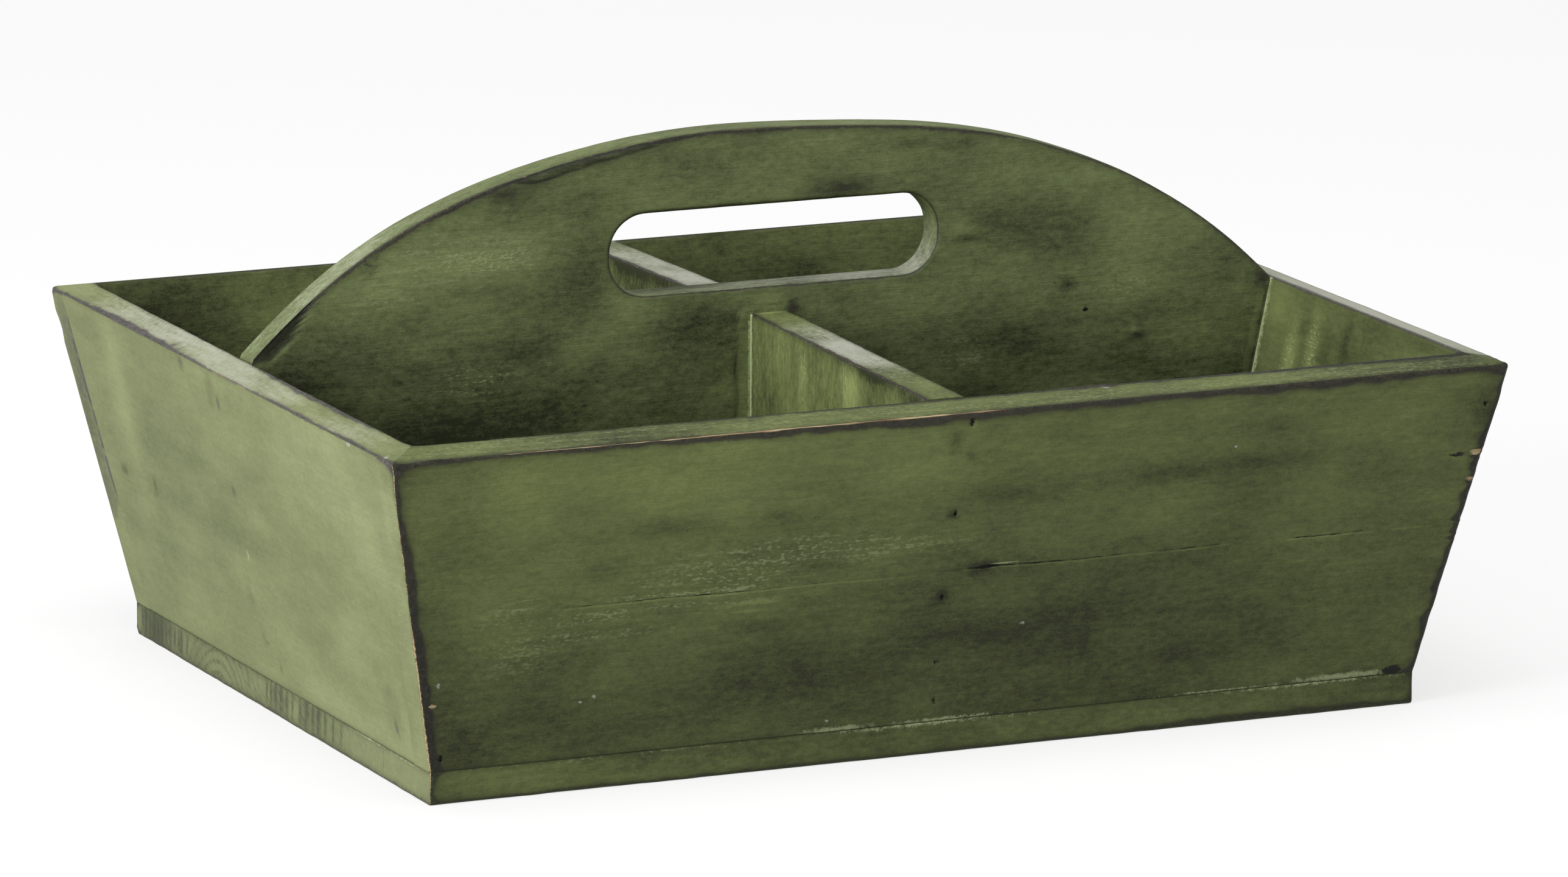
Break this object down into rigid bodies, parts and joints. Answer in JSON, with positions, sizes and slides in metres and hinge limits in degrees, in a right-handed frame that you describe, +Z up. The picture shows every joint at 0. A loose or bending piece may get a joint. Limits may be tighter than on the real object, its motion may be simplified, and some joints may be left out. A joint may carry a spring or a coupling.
{
  "type": "divided wooden box",
  "caption": "Open splayed box of nailed boards with an arched carrying board, a hand slot and cross dividers.",
  "frame": {"origin": "centre of the underside of the bottom", "axes": "+X along the length, towards the right end wall; -Y to the front; +Z up"},
  "size_m": [0.4, 0.308, 0.1869],
  "materials": {
    "wall_paint": "worn olive green paint",
    "end_paint": "worn sage green paint",
    "inner_paint": "worn dark green paint",
    "nail_steel": "dull dark steel wire"
  },
  "bodies": {
    "root": {"bottom_board_wide": "wall_paint", "bottom_board_narrow": "wall_paint", "front_wall_lower_plank": "wall_paint", "front_wall_upper_plank": "wall_paint", "back_wall_lower_plank": "wall_paint", "back_wall_upper_plank": "wall_paint", "left_end_wall": "end_paint", "right_end_wall": "end_paint", "handle_board": "inner_paint", "front_divider": "inner_paint", "back_divider": "inner_paint", "nail_front_divider_1": "nail_steel", "nail_front_divider_2": "nail_steel", "nail_front_divider_3": "nail_steel", "nail_front_divider_4": "nail_steel", "nail_front_divider_5": "nail_steel", "nail_front_left_corner_1": "nail_steel", "nail_front_left_corner_2": "nail_steel", "nail_front_left_corner_3": "nail_steel", "nail_front_right_corner_1": "nail_steel", "nail_front_right_corner_2": "nail_steel", "nail_front_right_corner_3": "nail_steel", "nail_bottom_front_1": "nail_steel", "nail_bottom_front_2": "nail_steel", "nail_bottom_front_3": "nail_steel", "nail_bottom_front_4": "nail_steel", "nail_back_divider_1": "nail_steel", "nail_back_divider_2": "nail_steel", "nail_back_divider_3": "nail_steel", "nail_back_divider_4": "nail_steel", "nail_back_divider_5": "nail_steel", "nail_back_left_corner_1": "nail_steel", "nail_back_left_corner_2": "nail_steel", "nail_back_left_corner_3": "nail_steel", "nail_back_right_corner_1": "nail_steel", "nail_back_right_corner_2": "nail_steel", "nail_back_right_corner_3": "nail_steel", "nail_bottom_back_1": "nail_steel", "nail_bottom_back_2": "nail_steel", "nail_bottom_back_3": "nail_steel", "nail_bottom_back_4": "nail_steel", "nail_handle_left_1": "nail_steel", "nail_handle_left_2": "nail_steel", "nail_handle_left_3": "nail_steel", "nail_handle_left_4": "nail_steel", "nail_bottom_left_1": "nail_steel", "nail_bottom_left_2": "nail_steel", "nail_handle_right_1": "nail_steel", "nail_handle_right_2": "nail_steel", "nail_handle_right_3": "nail_steel", "nail_handle_right_4": "nail_steel", "nail_bottom_right_1": "nail_steel", "nail_bottom_right_2": "nail_steel", "nail_bottom_handle_1": "nail_steel", "nail_bottom_handle_2": "nail_steel"}
  },
  "joints": []
}
